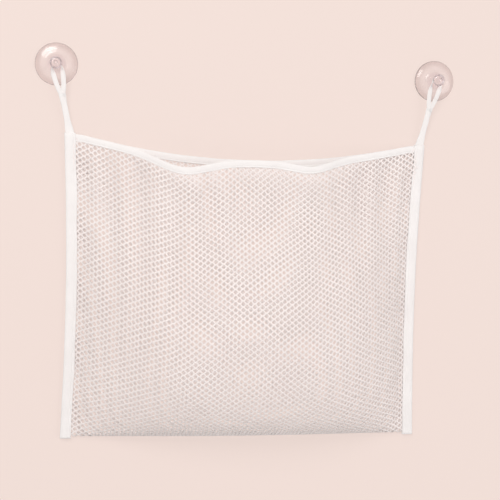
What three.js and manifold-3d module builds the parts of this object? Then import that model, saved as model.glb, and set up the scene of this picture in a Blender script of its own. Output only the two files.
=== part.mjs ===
// A mesh bag that hangs in a bath and keeps toys in it, on two suction cups.
// Sizes are in millimetres. X runs across the bag, Y runs into the wall and Z runs up.
// The wall's face is the plane Y = 0, and the origin lies on it, midway between the cups.
// A depth below is a distance out from the wall, so it is minus Y.

import * as THREE from 'three';
import Module from 'manifold-3d';
import { mergeVertices } from 'three/addons/utils/BufferGeometryUtils.js';

const wasm = await Module();
wasm.setup();

// Driving dimensions of the whole bag
const bag_width = 400;
const bag_height = 330;
const belly_depth = 74;
const belly_height = 96;
const mouth_depth = 30;
const wall_clearance = 0.6;

// How the bag hangs: each cup sits above and outside the corner that it carries
const strap_drop = 72;
const strap_splay = 15;

// Netting: the openings are counted at the fold, corner to corner
const net_thickness = 0.8;
const net_strand_width = 3.2;
const net_openings_across = 9;
const net_openings_up = 8;
const fold_hem = 5;

// Binding tape, folded over the edges of the netting
const tape_thickness = 0.7;
const tape_clearance = 0.25;
const side_tape_width = 12;
const side_tape_overhang = 2;
const side_bow = 4;
const side_tape_steps = 12;
const rim_tape_width = 8;
const slot_overrun = 1;
const rim_end_clearance = 0.3;
const rim_spacing = 0.3;

// The rims sag between the corners, and the front one droops at two places
const back_rim_sag = 23;
const front_rim_sag = 23;
const left_droop = 16;
const left_droop_reach = 8;
const left_droop_place_share = -0.42;
const left_droop_width_share = 0.2;
const right_droop = 9;
const right_droop_reach = 5;
const right_droop_place_share = 0.36;
const right_droop_width_share = 0.16;

// How full the pouch is between its sides, and how it turns up from the fold
const belly_fullness_power = 2.4;
const mouth_fullness_power = 1.5;
const fold_reach_share = 0.75;
const fold_lift_share = 0.08;
const belly_hold_share = 0.5;
const upper_hold_share = 0.45;
const fold_corner_share = 0.15;

// Hanging straps
const strap_width = 7.5;
const strap_thickness = 1.6;
const strap_fork_drop = 32;
const strap_fork_radius = 0.8;
const loop_band = 3.8;
const loop_ease = 1.7;
const loop_neck_clearance = 0.3;
const loop_turn_clearance = 1;
const corner_clearance = 0.6;
const strap_curve_steps = 16;

// Suction cups, each one moulding with a mushroom knob
const cup_diameter = 45;
const cup_rim_thickness = 1;
const cup_seal_width = 2;
const cup_hollow_depth = 3;
const cup_shoulder_radius = 8;
const cup_shoulder_depth = 8;
const cup_dome_radius = 15;
const cup_dome_depth = 4.4;
const neck_radius = 4;
const neck_fillet = 0.6;
const knob_radius = 6.5;
const knob_thickness = 4.4;
const knob_edge_thickness = 1.6;
const knob_dimple_radius = 2;
const knob_dimple_depth = 1;
const knob_face_share = 0.7;
const cup_facets = 36;
const curve_steps = 3;

// How far to each side of a place the slope of a net or rim is taken
const slope_share = 0.02;

// Finishes
const white_net = new THREE.MeshStandardMaterial({ color: 0xf6efee, roughness: 0.85, metalness: 0 });
const white_tape = new THREE.MeshStandardMaterial({ color: 0xfaf5f3, roughness: 0.75, metalness: 0 });
const clear_vinyl = new THREE.MeshStandardMaterial({
  color: 0xe6dcd9,
  roughness: 0.15,
  metalness: 0,
  transparent: true,
  opacity: 0.5,
});

// Heights, measured from the cups' centres
const corner_height = -strap_drop;
const fold_height = corner_height - bag_height;

// Depths of what is stacked at the side seams, worked out from the wall
const rim_half_thickness = net_thickness / 2 + tape_clearance + tape_thickness;
const back_net_depth = wall_clearance + rim_half_thickness;
const front_net_depth = back_net_depth + 2 * rim_half_thickness + rim_spacing;
const seam_middle_depth = (back_net_depth + front_net_depth) / 2;
const side_tape_half_thickness = (front_net_depth - back_net_depth) / 2 + rim_half_thickness;
const fold_depth = back_net_depth + net_thickness / 2 + tape_clearance;

// Half the width at a height: to the tape's outer edge, the net's edge and the tape's inner edge
function outerHalf(z) {
  const up_share = THREE.MathUtils.clamp((z - fold_height) / bag_height, 0, 1);
  return bag_width / 2 - side_bow * Math.sin(Math.PI * up_share);
}

function netHalf(z) {
  return outerHalf(z) - tape_thickness - tape_clearance;
}

function openHalf(z) {
  return outerHalf(z) - side_tape_width;
}

// A place across the net: -1 to 1 lies between the side tapes, and 1 to 2 lies inside a tape
function acrossAt(place, z) {
  const open = openHalf(z);
  if (Math.abs(place) <= 1) {
    return place * open;
  }
  return Math.sign(place) * (open + (Math.abs(place) - 1) * (netHalf(z) - open));
}

// A smooth bump of height 1 at a place, used for the droops of the front rim
function bump(place, centre, spread) {
  return Math.exp(-(((place - centre) / spread) ** 2));
}

function leftDroop(place) {
  return bump(place, left_droop_place_share, left_droop_width_share) * (1 - place * place);
}

function rightDroop(place) {
  return bump(place, right_droop_place_share, right_droop_width_share) * (1 - place * place);
}

// The top edge of each rim's tape, and how far out the front rim hangs
function backRimHeight(place) {
  return corner_height - back_rim_sag * (1 - place * place);
}

function frontRimHeight(place) {
  const droops = left_droop * leftDroop(place) + right_droop * rightDroop(place);
  return corner_height - front_rim_sag * (1 - place * place) - droops;
}

function frontRimDepth(across) {
  const place = THREE.MathUtils.clamp(across, -1, 1);
  const reach = left_droop_reach * leftDroop(place) + right_droop_reach * rightDroop(place);
  return front_net_depth + mouth_depth * (1 - place * place) ** mouth_fullness_power + reach;
}

// The pouch's section at a place across it, as a curve of depth and height from the fold up
function frontProfile(place) {
  const fullness = 1 - Math.abs(place) ** belly_fullness_power;
  const corner_share = Math.min(1, (1 - Math.abs(place)) / fold_corner_share);
  const start = front_net_depth + (fold_depth - front_net_depth) * corner_share;
  const belly = front_net_depth + belly_depth * fullness;
  const belly_line = fold_height + belly_height;
  const rim = frontRimDepth(place);
  const rim_line = frontRimHeight(place) - rim_tape_width;
  const upper = rim_line - belly_line;
  const fold_reach = start + fold_reach_share * (belly - start);
  const profile = new THREE.CurvePath();
  profile.add(
    new THREE.CubicBezierCurve(
      new THREE.Vector2(start, fold_height),
      new THREE.Vector2(fold_reach, fold_height + fold_lift_share * belly_height),
      new THREE.Vector2(belly, belly_line - belly_hold_share * belly_height),
      new THREE.Vector2(belly, belly_line),
    ),
  );
  profile.add(
    new THREE.CubicBezierCurve(
      new THREE.Vector2(belly, belly_line),
      new THREE.Vector2(belly, belly_line + upper_hold_share * upper),
      new THREE.Vector2(rim, rim_line - upper_hold_share * upper),
      new THREE.Vector2(rim, rim_line),
    ),
  );
  return profile;
}

// A point of the front net. Up the net, -1 to 0 is the fold's hem, 0 to 1 is open netting
// and 1 to 2 is the edge inside the rim's tape.
function frontPoint(across, up) {
  const place = THREE.MathUtils.clamp(across, -1, 1);
  const profile = frontProfile(place);
  const length = profile.getLength();
  const net_top = frontRimHeight(place) - tape_thickness - tape_clearance;
  const rim_line = frontRimHeight(place) - rim_tape_width;
  let depth = frontRimDepth(place);
  let height = rim_line + (up - 1) * (net_top - rim_line);
  if (up <= 1) {
    const along = up < 0 ? (1 + up) * fold_hem : fold_hem + up * (length - fold_hem);
    const spot = profile.getPointAt(THREE.MathUtils.clamp(along / length, 0, 1));
    depth = spot.x;
    height = spot.y;
  }
  return new THREE.Vector3(acrossAt(across, height), -depth, height);
}

// A point of the back net, which hangs flat
function backPoint(across, up) {
  const place = THREE.MathUtils.clamp(across, -1, 1);
  const net_top = backRimHeight(place) - tape_thickness - tape_clearance;
  const rim_line = backRimHeight(place) - rim_tape_width;
  const hem_line = fold_height + fold_hem;
  let height = rim_line + (up - 1) * (net_top - rim_line);
  if (up <= 1) {
    height = up < 0 ? fold_height + (1 + up) * fold_hem : hem_line + up * (rim_line - hem_line);
  }
  return new THREE.Vector3(acrossAt(across, height), -back_net_depth, height);
}

// The direction out of a net's front, from how its surface runs across and up
function frontNormal(point, across, up) {
  const right = point(across + slope_share, up).sub(point(across - slope_share, up));
  const low = Math.max(up - slope_share, -1);
  const high = Math.min(up + slope_share, 2);
  const rise = point(across, high).sub(point(across, low));
  return right.cross(rise).normalize();
}

// A geometry from points and triangles, with its faces turned outward
function solidOf(points, faces) {
  let volume = 0;
  for (const [a, b, c] of faces) {
    volume += points[a].dot(points[b].clone().cross(points[c]));
  }
  const order = volume > 0 ? faces : faces.map(([a, b, c]) => [a, c, b]);
  const numbers = points.flatMap((p) => [p.x, p.y, p.z]);
  const geometry = new THREE.BufferGeometry();
  geometry.setAttribute('position', new THREE.Float32BufferAttribute(numbers, 3));
  geometry.setIndex(order.flat());
  geometry.computeVertexNormals();
  return geometry;
}

// Netting over a surface: strands run both ways on the slant and cross at every corner
// of its diamond openings, and a plain hem goes all round.
function netting(surface) {
  const columns = 2 * net_openings_across;
  const rows = 2 * net_openings_up;
  const points = [];
  const faces = [];
  const posts = new Map();

  const acrossOf = (i) => (i < 0 ? -2 : i > columns ? 2 : (2 * i) / columns - 1);
  const upOf = (j) => (j < 0 ? -1 : j > rows ? 2 : j / rows);

  // A post is a pair of points, on the net's front and on its back
  const addPost = (front, back) => {
    points.push(front, back);
    return points.length - 2;
  };
  const post = (i, j) => {
    const key = `${i} ${j}`;
    if (!posts.has(key)) {
      const middle = surface(acrossOf(i), upOf(j));
      const out = frontNormal(surface, acrossOf(i), upOf(j)).multiplyScalar(net_thickness / 2);
      posts.set(key, addPost(middle.clone().add(out), middle.clone().sub(out)));
    }
    return posts.get(key);
  };
  const panel = (ring) => {
    for (let k = 1; k + 1 < ring.length; k++) {
      faces.push([ring[0], ring[k], ring[k + 1]]);
      faces.push([ring[0] + 1, ring[k + 1] + 1, ring[k] + 1]);
    }
  };
  const wall = (a, b) => {
    faces.push([a, a + 1, b + 1], [a, b + 1, b]);
  };

  // One opening: its corners, the point that its sides are drawn in to, and, on the
  // net's border, the post halfway along the side that lies on the hem.
  const opening = (corners, centre, hem_post) => {
    const inner = corners.map((corner, k) => {
      const before = corners[(k + corners.length - 1) % corners.length];
      const side = points[corner].distanceTo(points[before]);
      const wedge = new THREE.Triangle(points[corner], points[before], centre[0]);
      const height = (2 * wedge.getArea()) / side;
      const drawn = Math.min(net_strand_width / 2 / height, 1 / 2);
      return addPost(
        points[corner].clone().lerp(centre[0], drawn),
        points[corner + 1].clone().lerp(centre[1], drawn),
      );
    });
    corners.forEach((corner, k) => {
      const next = (k + 1) % corners.length;
      if (hem_post !== null && next === 0) {
        panel([hem_post, corners[next], inner[next], inner[k], corner]);
      } else {
        panel([corner, corners[next], inner[next], inner[k]]);
      }
      wall(inner[next], inner[k]);
    });
  };
  const centreOf = (corners) => [0, 1].map((face) => {
    const sum = new THREE.Vector3();
    corners.forEach((corner) => sum.add(points[corner + face]));
    return sum.divideScalar(corners.length);
  });

  for (let i = 0; i <= columns; i++) {
    for (let j = 0; j <= rows; j++) {
      if ((i + j) % 2 === 0) {
        continue;
      }
      const around = [[i + 1, j], [i, j + 1], [i - 1, j], [i, j - 1]];
      const outside = around.findIndex(([a, b]) => a < 0 || b < 0 || a > columns || b > rows);
      if (outside < 0) {
        const corners = around.map(([a, b]) => post(a, b));
        opening(corners, centreOf(corners), null);
      } else {
        const three = [1, 2, 3].map((k) => around[(outside + k) % 4]);
        const corners = three.map(([a, b]) => post(a, b));
        opening(corners, centreOf(corners), post(i, j));
      }
    }
  }

  // The hem, and the net's edge all round
  for (let i = -1; i <= columns; i++) {
    for (let j = -1; j <= rows; j++) {
      if (i < 0 || j < 0 || i === columns || j === rows) {
        panel([post(i, j), post(i + 1, j), post(i + 1, j + 1), post(i, j + 1)]);
      }
    }
  }
  for (let i = -1; i <= columns; i++) {
    wall(post(i, -1), post(i + 1, -1));
    wall(post(i + 1, rows + 1), post(i, rows + 1));
  }
  for (let j = -1; j <= rows; j++) {
    wall(post(columns + 1, j), post(columns + 1, j + 1));
    wall(post(-1, j + 1), post(-1, j));
  }
  return solidOf(points, faces);
}

// A strip of tape folded double, as a section of [through, in] pairs: through its
// thickness, and in from the fold towards the net that it binds.
function foldedTape(half_thickness, width) {
  const inside = half_thickness - tape_thickness;
  return [
    [-half_thickness, 0],
    [half_thickness, 0],
    [half_thickness, width],
    [inside, width],
    [inside, tape_thickness],
    [-inside, tape_thickness],
    [-inside, width],
    [-half_thickness, width],
  ];
}

// A solid that carries one section along stations: place(station, through, in) gives a point
function carried(section, stations, place) {
  const points = stations.flatMap((station) => {
    return section.map(([through, inward]) => place(station, through, inward));
  });
  const count = section.length;
  const faces = [];
  for (let s = 0; s + 1 < stations.length; s++) {
    for (let k = 0; k < count; k++) {
      const a = s * count + k;
      const b = s * count + ((k + 1) % count);
      faces.push([a, b, b + count], [a, b + count, a + count]);
    }
  }
  const outline = section.map(([through, inward]) => new THREE.Vector2(through, inward));
  const last = (stations.length - 1) * count;
  for (const [a, b, c] of THREE.ShapeUtils.triangulateShape(outline, [])) {
    faces.push([a, c, b], [a + last, b + last, c + last]);
  }
  return solidOf(points, faces);
}

// A geometry made a solid that another can be cut out of
function manifoldOf(geometry) {
  const merged = geometry.clone();
  merged.deleteAttribute('normal');
  const welded = mergeVertices(merged);
  return new wasm.Manifold(
    new wasm.Mesh({
      numProp: 3,
      vertProperties: welded.attributes.position.array,
      triVerts: new Uint32Array(welded.index.array),
    }),
  );
}

// A body with a tool's shape cut out of it
function cutFrom(body, tool) {
  const result = manifoldOf(body).subtract(manifoldOf(tool)).getMesh();
  const geometry = new THREE.BufferGeometry();
  geometry.setAttribute('position', new THREE.BufferAttribute(result.vertProperties, 3));
  geometry.setIndex(new THREE.BufferAttribute(result.triVerts, 1));
  geometry.computeVertexNormals();
  return geometry;
}

// The tape down one side: a strip as thick as both nets with their rims, and a slot in it
// for the nets' edges. The slot stops short of the top, where the tape's end is turned over.
function sideTape(side) {
  const low = fold_height - side_tape_overhang;
  const strip = (half_thickness, near, far, bottom, top) => {
    const section = [
      [-half_thickness, near],
      [half_thickness, near],
      [half_thickness, far],
      [-half_thickness, far],
    ];
    const stations = [bottom];
    for (let s = 1; s <= side_tape_steps; s++) {
      stations.push(low + ((top - low) * s) / side_tape_steps);
    }
    return carried(section, stations, (z, through, inward) => {
      return new THREE.Vector3(side * (outerHalf(z) - inward), -(seam_middle_depth + through), z);
    });
  };
  const body = strip(side_tape_half_thickness, 0, side_tape_width, low, corner_height);
  const slot = strip(
    side_tape_half_thickness - tape_thickness,
    tape_thickness,
    side_tape_width + slot_overrun,
    low - slot_overrun,
    corner_height - tape_thickness,
  );
  return cutFrom(body, slot);
}

// The tape along one rim, which ends just short of the side tapes
function rimTape(height, depth) {
  const section = foldedTape(rim_half_thickness, rim_tape_width);
  const stations = [];
  const columns = 2 * net_openings_across;
  const end_share = 1 - rim_end_clearance / openHalf(corner_height);
  for (let i = 0; i <= columns; i++) {
    stations.push(THREE.MathUtils.clamp((2 * i) / columns - 1, -end_share, end_share));
  }
  const middle = (share, level) => new THREE.Vector3(acrossAt(share, level), -depth(share), level);
  return carried(section, stations, (share, through, inward) => {
    const level = height(share) - inward;
    const ahead = middle(Math.min(share + slope_share, 1), level);
    const along = ahead.sub(middle(Math.max(share - slope_share, -1), level));
    const out = new THREE.Vector3(along.y, -along.x, 0).normalize();
    return middle(share, level).addScaledVector(out, through);
  });
}

// An outline round two circles on one line, the upper of which is centred on the origin
function dropOutline(upper_radius, lower_radius, distance) {
  const lean = Math.asin((upper_radius - lower_radius) / distance);
  const shape = new THREE.Shape();
  shape.absarc(0, 0, upper_radius, -lean, Math.PI + lean, false);
  shape.absarc(0, -distance, lower_radius, Math.PI + lean, 2 * Math.PI - lean, false);
  shape.closePath();
  return shape;
}

// Where a strap starts, at the top of the cup's neck, and where it ends, at the bag's corner
const cup_across = bag_width / 2 - side_tape_width / 2 + strap_splay;
const splay_angle = Math.atan2(strap_splay, strap_drop);
const loop_seat_radius = neck_radius + loop_neck_clearance;
const loop_radius = knob_radius + loop_ease;
const neck_length = loop_band + strap_thickness + 2 * loop_turn_clearance;
const strap_top_depth = cup_shoulder_depth + loop_band + loop_turn_clearance;
const strap_end_depth = seam_middle_depth - strap_thickness / 2;
const strap_top = new THREE.Vector3(
  cup_across + loop_seat_radius * Math.sin(splay_angle),
  -strap_top_depth,
  loop_seat_radius * Math.cos(splay_angle),
);
const strap_end = new THREE.Vector3(
  bag_width / 2 - side_tape_width / 2,
  -strap_end_depth,
  corner_height + corner_clearance,
);
const strap_run = strap_top.clone().sub(strap_end);
const strap_length = strap_run.length();
const strap_lean = Math.asin(strap_run.x / strap_length);
const strap_tilt = Math.atan2(-strap_run.y, strap_run.z);

// A strap of tape with the loop that hangs on the neck, made flat about its top seat.
// Its lower end is cut level, so that it meets the corner squarely.
function strapShape(side) {
  const rise = Math.tan(side * strap_lean) * (strap_width / 2);
  const outer_radius = loop_radius + loop_band;
  const fork = strap_fork_drop - loop_radius;
  const lean = Math.asin((outer_radius - strap_width / 2) / fork);
  const shape = new THREE.Shape();
  shape.absarc(0, -loop_radius, outer_radius, -lean, Math.PI + lean, false);
  shape.lineTo(-strap_width / 2, -loop_radius - fork);
  shape.lineTo(-strap_width / 2, -strap_length - rise);
  shape.lineTo(strap_width / 2, -strap_length + rise);
  shape.lineTo(strap_width / 2, -loop_radius - fork);
  shape.closePath();
  const hole_drop = fork - strap_width;
  const hole = dropOutline(loop_radius, strap_fork_radius, hole_drop).getPoints(strap_curve_steps);
  shape.holes.push(new THREE.Path(hole.map((p) => new THREE.Vector2(p.x, p.y - loop_radius))));
  return shape;
}

function strapSolid(side) {
  const geometry = new THREE.ExtrudeGeometry(strapShape(side), {
    depth: strap_thickness,
    bevelEnabled: false,
    curveSegments: strap_curve_steps,
  });
  return geometry.rotateX(Math.PI / 2);
}

// One suction cup, turned about the line through its knob. It starts at the middle of
// the knob's face and comes round over the dome to the hollow against the wall.
function cupSolid() {
  const radius = cup_diameter / 2;
  const seal_radius = radius - cup_seal_width;
  const rim_hold = cup_dome_depth - cup_rim_thickness;
  const neck_end = cup_shoulder_depth + neck_length;
  const face = neck_end + knob_thickness;
  const edge = neck_end + knob_edge_thickness;
  const knob_face = knob_radius * knob_face_share;
  const shoulder_end = cup_shoulder_radius + neck_fillet;
  const dome_hold = cup_dome_radius - cup_shoulder_radius / 2;
  const front = new THREE.Path();
  front.moveTo(0, -(face - knob_dimple_depth));
  front.quadraticCurveTo(knob_dimple_radius / 2, -(face - knob_dimple_depth), knob_dimple_radius, -face);
  front.bezierCurveTo(knob_face, -face, knob_radius, -(edge + knob_edge_thickness), knob_radius, -edge);
  front.quadraticCurveTo(knob_radius, -neck_end, knob_radius - knob_edge_thickness / 2, -neck_end);
  front.lineTo(neck_radius + neck_fillet, -neck_end);
  front.quadraticCurveTo(neck_radius, -neck_end, neck_radius, -(neck_end - neck_fillet));
  front.lineTo(neck_radius, -(cup_shoulder_depth + neck_fillet));
  front.quadraticCurveTo(neck_radius, -cup_shoulder_depth, neck_radius + neck_fillet, -cup_shoulder_depth);
  front.lineTo(cup_shoulder_radius - neck_fillet, -cup_shoulder_depth);
  front.quadraticCurveTo(
    cup_shoulder_radius,
    -cup_shoulder_depth,
    shoulder_end,
    -(cup_shoulder_depth - neck_fillet),
  );
  front.quadraticCurveTo(dome_hold, -cup_dome_depth, cup_dome_radius, -cup_dome_depth);
  front.quadraticCurveTo(seal_radius, -rim_hold, radius, -cup_rim_thickness);
  front.lineTo(radius, 0);
  front.lineTo(seal_radius, 0);
  front.quadraticCurveTo(radius / 2, -cup_hollow_depth, 0, -cup_hollow_depth);
  return new THREE.LatheGeometry(front.getPoints(curve_steps), cup_facets);
}

const group = new THREE.Group();

function add(name, geometry, material, position, rotation) {
  const mesh = new THREE.Mesh(geometry, material);
  mesh.name = name;
  if (position) {
    mesh.position.copy(position);
  }
  if (rotation) {
    mesh.rotation.copy(rotation);
  }
  group.add(mesh);
  return mesh;
}

// The bag
add('back_net', netting(backPoint), white_net);
add('front_net', netting(frontPoint), white_net);
add('back_rim_binding', rimTape(backRimHeight, () => back_net_depth), white_tape);
add('front_rim_binding', rimTape(frontRimHeight, frontRimDepth), white_tape);

// What there is one of on each side
for (const [name, side] of [['left', -1], ['right', 1]]) {
  add(`${name}_side_binding`, sideTape(side), white_tape);
  const top = new THREE.Vector3(side * strap_top.x, strap_top.y, strap_top.z);
  const turn = new THREE.Euler(strap_tilt, side * strap_lean, 0);
  add(`${name}_hanging_strap`, strapSolid(side), white_tape, top, turn);
  add(`${name}_suction_cup`, cupSolid(), clear_vinyl, new THREE.Vector3(side * cup_across, 0, 0));
}

export default group;
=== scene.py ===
# A mesh bag for bath toys, hung on a wall by two looped straps and two clear suction cups.
# Metres. X runs across the bag, Y runs into the wall and Z runs up. The wall's face is Y = 0,
# and a depth is a distance out from it, so it is minus Y.
import math
from collections import namedtuple
from functools import lru_cache

import bmesh
import bpy
import numpy as np
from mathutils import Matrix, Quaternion, Vector, noise


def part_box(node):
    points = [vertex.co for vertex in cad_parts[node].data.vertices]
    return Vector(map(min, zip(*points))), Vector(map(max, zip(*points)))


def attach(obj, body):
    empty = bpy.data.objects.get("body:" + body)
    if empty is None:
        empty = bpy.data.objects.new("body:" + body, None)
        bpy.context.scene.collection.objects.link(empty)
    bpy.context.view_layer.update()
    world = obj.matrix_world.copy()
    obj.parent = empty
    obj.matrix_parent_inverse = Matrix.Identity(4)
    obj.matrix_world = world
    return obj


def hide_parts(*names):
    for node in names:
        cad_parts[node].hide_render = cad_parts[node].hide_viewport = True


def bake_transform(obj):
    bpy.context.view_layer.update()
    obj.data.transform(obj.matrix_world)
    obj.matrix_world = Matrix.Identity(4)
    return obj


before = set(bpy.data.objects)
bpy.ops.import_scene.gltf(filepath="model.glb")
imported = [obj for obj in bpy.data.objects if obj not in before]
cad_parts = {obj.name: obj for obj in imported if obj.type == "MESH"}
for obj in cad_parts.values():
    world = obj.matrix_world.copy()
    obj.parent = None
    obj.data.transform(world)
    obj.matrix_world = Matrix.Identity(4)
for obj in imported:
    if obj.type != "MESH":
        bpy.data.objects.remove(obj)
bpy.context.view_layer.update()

# What the frame gives: the places of the side tape, the back net and a cup
side_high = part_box("right_side_binding")[1]
back_low, back_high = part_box("back_net")
cup_low, cup_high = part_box("right_suction_cup")

SIDES = {"left": -1, "right": 1}
BAG_HALF = side_high.x
CORNER = side_high.z
FOLD = back_low.z
BAG_HEIGHT = CORNER - FOLD
BACK_DEPTH = -(back_low.y + back_high.y) / 2
CUP_ACROSS = (cup_low.x + cup_high.x) / 2
CUP_RADIUS = (cup_high.x - cup_low.x) / 2
CUP_STANDS = -cup_low.y

# The pouch, as the solids have it
FRONT_DEPTH = 0.00495
FOLD_DEPTH = 0.0026
BELLY_DEPTH = 0.074
BELLY_HEIGHT = 0.096
MOUTH_DEPTH = 0.030
BELLY_FULLNESS_POWER = 2.4
MOUTH_FULLNESS_POWER = 1.5
FOLD_REACH_SHARE = 0.75
FOLD_LIFT_SHARE = 0.08
BELLY_HOLD_SHARE = 0.5
UPPER_HOLD_SHARE = 0.45
FOLD_CORNER_SHARE = 0.15
SIDE_BOW = 0.004
PROFILE_STEPS = 48

# The rims: how far they sag, and the front one's two droops, which hang lower and stand out.
# A place runs from -1 to 1 across the bag, between the side tapes.
BACK_RIM_SAG = 0.023
FRONT_RIM_SAG = 0.023
Droop = namedtuple("Droop", "drop reach place spread")
DROOPS = (
    Droop(drop=0.016, reach=0.008, place=-0.42, spread=0.2),
    Droop(drop=0.009, reach=0.005, place=0.36, spread=0.16),
)

# Tape
SIDE_TAPE_WIDTH = 0.012
SIDE_TAPE_OVERHANG = 0.002
RIM_TAPE_WIDTH = 0.008
TAPE_THICKNESS = 0.0007
SEAM_DEPTH = (BACK_DEPTH + FRONT_DEPTH) / 2

# Netting: openings across, from tape to tape, and up the back and the front
OPENINGS_ACROSS = 46
OPENINGS_UP_BACK = 50
OPENINGS_UP_FRONT = 55
OPENINGS_IN_SIDE_TAPE = 0.5
OPENINGS_IN_RIM_TAPE = 1
NET_THICKNESS = 0.0006
OPENING_SHARE = 0.7
OPENING_SPREAD = 0.025
OPENING_SEED = 11
JOINT_SHARE = 0.16
MERGE_DISTANCE = 1e-6


def clamp(value, low, high):
    return min(max(value, low), high)


def smooth(value, low, high):
    """0 below low and 1 above high, with a soft turn between them."""
    share = clamp((value - low) / (high - low), 0, 1)
    return share * share * (3 - 2 * share)


def swell(across, up, grain):
    """A soft random value at a place. A grain is (swells across, swells up, layer)."""
    return noise.noise(Vector((across * grain[0], up * grain[1], grain[2])))


def bezier(a, b, c, d, steps):
    """Points along one cubic curve, the first one left out."""
    t = np.linspace(0, 1, steps + 1)[1:, None]
    a, b, c, d = (np.array(p, float) for p in (a, b, c, d))
    return a * (1 - t) ** 3 + 3 * b * t * (1 - t) ** 2 + 3 * c * t * t * (1 - t) + d * t**3


# The bag's surface

def outer_half(z):
    """Half the bag's width at a height, to the outer edge of the side tape."""
    up = clamp((z - FOLD) / BAG_HEIGHT, 0, 1)
    return BAG_HALF - SIDE_BOW * math.sin(math.pi * up)


def open_half(z):
    """Half the bag's width at a height, to the inner edge of the side tape."""
    return outer_half(z) - SIDE_TAPE_WIDTH


def droop_share(droop, place):
    """How much of one droop of the front rim there is at a place."""
    return math.exp(-(((place - droop.place) / droop.spread) ** 2)) * (1 - place * place)


def back_rim_height(place):
    return CORNER - BACK_RIM_SAG * (1 - place * place)


def front_rim_height(place):
    drop = sum(droop.drop * droop_share(droop, place) for droop in DROOPS)
    return CORNER - FRONT_RIM_SAG * (1 - place * place) - drop


def front_rim_depth(place):
    reach = sum(droop.reach * droop_share(droop, place) for droop in DROOPS)
    return FRONT_DEPTH + MOUTH_DEPTH * (1 - place * place) ** MOUTH_FULLNESS_POWER + reach


@lru_cache(maxsize=None)
def front_profile(place):
    """The pouch's section at a place: lengths from the fold, and a (depth, height) point for each."""
    full = 1 - abs(place) ** BELLY_FULLNESS_POWER
    corner = min(1, (1 - abs(place)) / FOLD_CORNER_SHARE)
    start = FRONT_DEPTH + (FOLD_DEPTH - FRONT_DEPTH) * corner
    belly = FRONT_DEPTH + BELLY_DEPTH * full
    line = FOLD + BELLY_HEIGHT
    rim = front_rim_depth(place)
    rim_line = front_rim_height(place) - RIM_TAPE_WIDTH
    upper = rim_line - line
    fold_reach = start + FOLD_REACH_SHARE * (belly - start)
    lower_half = bezier(
        (start, FOLD),
        (fold_reach, FOLD + FOLD_LIFT_SHARE * BELLY_HEIGHT),
        (belly, line - BELLY_HOLD_SHARE * BELLY_HEIGHT),
        (belly, line),
        PROFILE_STEPS,
    )
    upper_half = bezier(
        (belly, line),
        (belly, line + UPPER_HOLD_SHARE * upper),
        (rim, rim_line - UPPER_HOLD_SHARE * upper),
        (rim, rim_line),
        PROFILE_STEPS,
    )
    points = np.vstack([[(start, FOLD)], lower_half, upper_half])
    steps = np.linalg.norm(np.diff(points, axis=0), axis=1)
    return np.concatenate([[0], np.cumsum(steps)]), points


# Soft folds: pleats hang below the rim, the net puckers beside the side tapes, it lies in
# shallow lumps over the belly, and the back net ripples a little. The tapes hold it flat.
PLEATS = 11
PLEAT_HEIGHT = 0.0034
PLEAT_REACH = 0.12
PLEAT_GRAIN = (2.1, 0.9, 7.3)
PLEAT_WANDER = 2.6
PLEAT_START = 0.5
PLEAT_MIDDLE_SHARE = 0.55
PLEAT_UNEVEN_SHARE = 0.9
PUCKERS = 17
PUCKER_HEIGHT = 0.0012
PUCKER_REACH_SHARE = 0.09
PUCKER_SEAM_SHARE = 0.03
PUCKER_RIGHT_START = 0.7
LUMP_HEIGHT = 0.005
LUMP_GRAIN = (3.4, 3.1, 2.9)
LUMP_FOLD_SHARES = (0.02, 0.25)
LUMP_RIM_SHARES = (0.05, 0.4)
RIPPLE_HEIGHT = 0.0012
RIPPLE_GRAIN = (2.4, 2.2, 5.1)
RIPPLE_FOLD_SHARE = 0.1
RIM_HOLD = 0.02
SIDE_HOLD_SHARE = 0.9
PINCH_SHARE = 0.6
PINCH_DROPS = (0.01, 0.06)


def front_relief(place, up, length):
    """How far the front net stands out from its smooth surface, at a share of the way up it."""
    aside = 1 - abs(place)
    below = max(0, (1 - up) * length)
    free = smooth(below, 0, RIM_HOLD)
    inside = 1 - smooth(abs(place), SIDE_HOLD_SHARE, 1)

    hung = free * math.exp(-((below / PLEAT_REACH) ** 2))
    wander = swell(place, up, PLEAT_GRAIN)
    pleat = math.sin(math.pi * PLEATS * place + PLEAT_WANDER * wander + PLEAT_START)
    pleat *= PLEAT_MIDDLE_SHARE + PLEAT_UNEVEN_SHARE * wander

    beside = math.exp(-((aside / PUCKER_REACH_SHARE) ** 2)) * smooth(aside, 0, PUCKER_SEAM_SHARE)
    pucker = math.sin(math.pi * PUCKERS * up + (PUCKER_RIGHT_START if place > 0 else 0))

    lump = swell(place, up, LUMP_GRAIN)
    middle = (1 - place * place) * smooth(up, *LUMP_FOLD_SHARES) * smooth(1 - up, *LUMP_RIM_SHARES)
    return (
        PLEAT_HEIGHT * hung * pleat * inside
        + PUCKER_HEIGHT * beside * pucker * free
        + LUMP_HEIGHT * lump * middle
    )


def seam_pinch(place, z):
    """How far both nets have been drawn together at the side seams. The corners stay open."""
    return smooth(abs(place), SIDE_HOLD_SHARE, 1) * smooth(CORNER - z, *PINCH_DROPS)


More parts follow.
